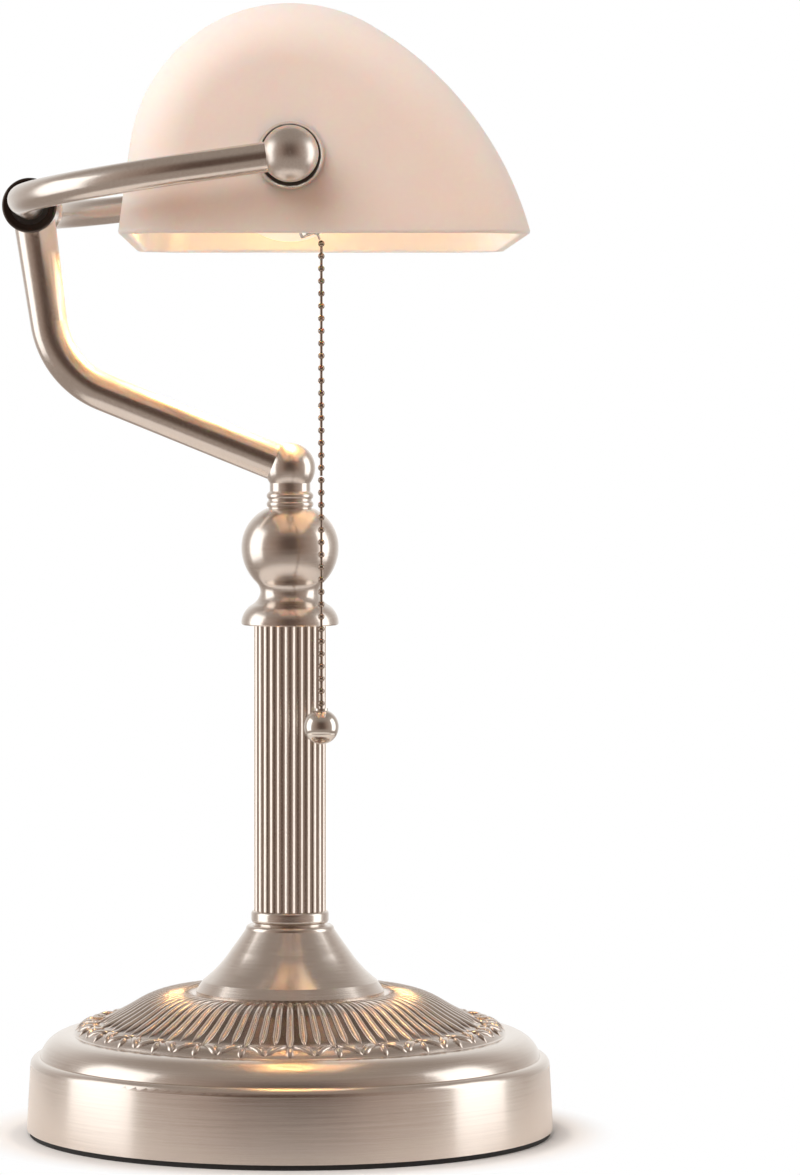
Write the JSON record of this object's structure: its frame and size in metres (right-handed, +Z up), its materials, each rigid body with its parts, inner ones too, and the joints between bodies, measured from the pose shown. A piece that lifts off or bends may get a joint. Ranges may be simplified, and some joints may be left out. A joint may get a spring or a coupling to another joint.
{
  "type": "banker desk lamp",
  "caption": "Desk lamp with a weighted round base, fluted column, bent neck and U-shaped yoke holding a tilting opal glass shade, with a pull-chain socket and bulb.",
  "frame": {"origin": "centre of the foot pad's flat underside, on the column's axis", "axes": "+Z up, X along the shade's pivot axis, -Y towards the user, +Y towards the bent neck"},
  "size_m": [0.2718, 0.1845, 0.3733],
  "materials": {
    "satin_nickel": "satin brushed nickel plate",
    "bright_nickel": "polished nickel plate",
    "zinc_steel": "zinc-plated",
    "black_steel": "black oxide",
    "cast_iron": "as cast, primed",
    "rubber_pad": "matte fine-grained foam",
    "rubber_washer": "matte",
    "black_plastic": "moulded",
    "phenolic": "moulded phenolic",
    "fibre_liner": "pressed fibre",
    "brass": "plain",
    "aluminium": "thin rolled",
    "solder": "solder",
    "opal_glass": "cased opal white, glossy outside",
    "frosted_glass": "frosted"
  },
  "bodies": {
    "stand": {"foot_pad": "rubber_pad", "base_plate": "zinc_steel", "base_cover": "satin_nickel", "base_weight": "cast_iron", "cord_grommet": "black_plastic", "stem_washer": "zinc_steel", "stem_nut": "zinc_steel", "threaded_stem": "zinc_steel", "base_trumpet": "satin_nickel", "column_collar": "satin_nickel", "column_tube": "satin_nickel", "column_rings": "zinc_steel", "column_cap": "satin_nickel", "neck_elbow": "satin_nickel", "neck_tube": "satin_nickel", "yoke_sleeve": "satin_nickel", "sleeve_bushes": "black_plastic", "sleeve_grub_screw": "black_steel", "yoke_tube": "satin_nickel", "arm_ball_left": "satin_nickel", "arm_ball_right": "satin_nickel", "nipple_left": "zinc_steel", "nipple_right": "zinc_steel", "cup_washers": "satin_nickel", "clamp_washers": "zinc_steel", "clamp_nuts": "zinc_steel", "socket_cap": "satin_nickel", "socket_shell": "satin_nickel", "socket_liner": "fibre_liner", "switch_body": "phenolic", "terminal_screws": "brass", "screw_shell": "aluminium", "center_contact": "brass", "chain_guide": "bright_nickel", "bulb_envelope": "frosted_glass", "bulb_base": "aluminium", "bulb_insulator": "phenolic", "bulb_tip": "solder"},
    "shade": {"shade_glass": "opal_glass", "outer_rubber_washers": "rubber_washer", "inner_rubber_washers": "rubber_washer"},
    "switch_slide": {"switch_chain": "bright_nickel"},
    "chain_upper": {"chain_upper": "bright_nickel"},
    "chain_lower": {"chain_lower": "bright_nickel", "chain_end_ball": "bright_nickel"}
  },
  "joints": [
    {"name": "shade_tilt", "type": "hinge", "parent": "stand", "child": "shade", "pos_m": [0, 0, 0.3242], "axis": [-1, 0, 0], "range_deg": [-50, 60]},
    {"name": "chain_pull", "type": "slide", "parent": "stand", "child": "switch_slide", "axis": [0, -0.3778, -0.9259], "range_m": [0, 0.008], "stiffness_N_per_m": 300, "springref_m": -0.002},
    {"name": "chain_swing", "type": "hinge", "parent": "switch_slide", "child": "chain_upper", "pos_m": [-0.035, -0.01033, 0.2989], "axis": [-1, 0, 0], "range_deg": [-10, 10]},
    {"name": "chain_sway", "type": "hinge", "parent": "chain_upper", "child": "chain_lower", "pos_m": [-0.035, -0.01033, 0.221], "axis": [0, 1, 0], "range_deg": [-8, 15]}
  ]
}
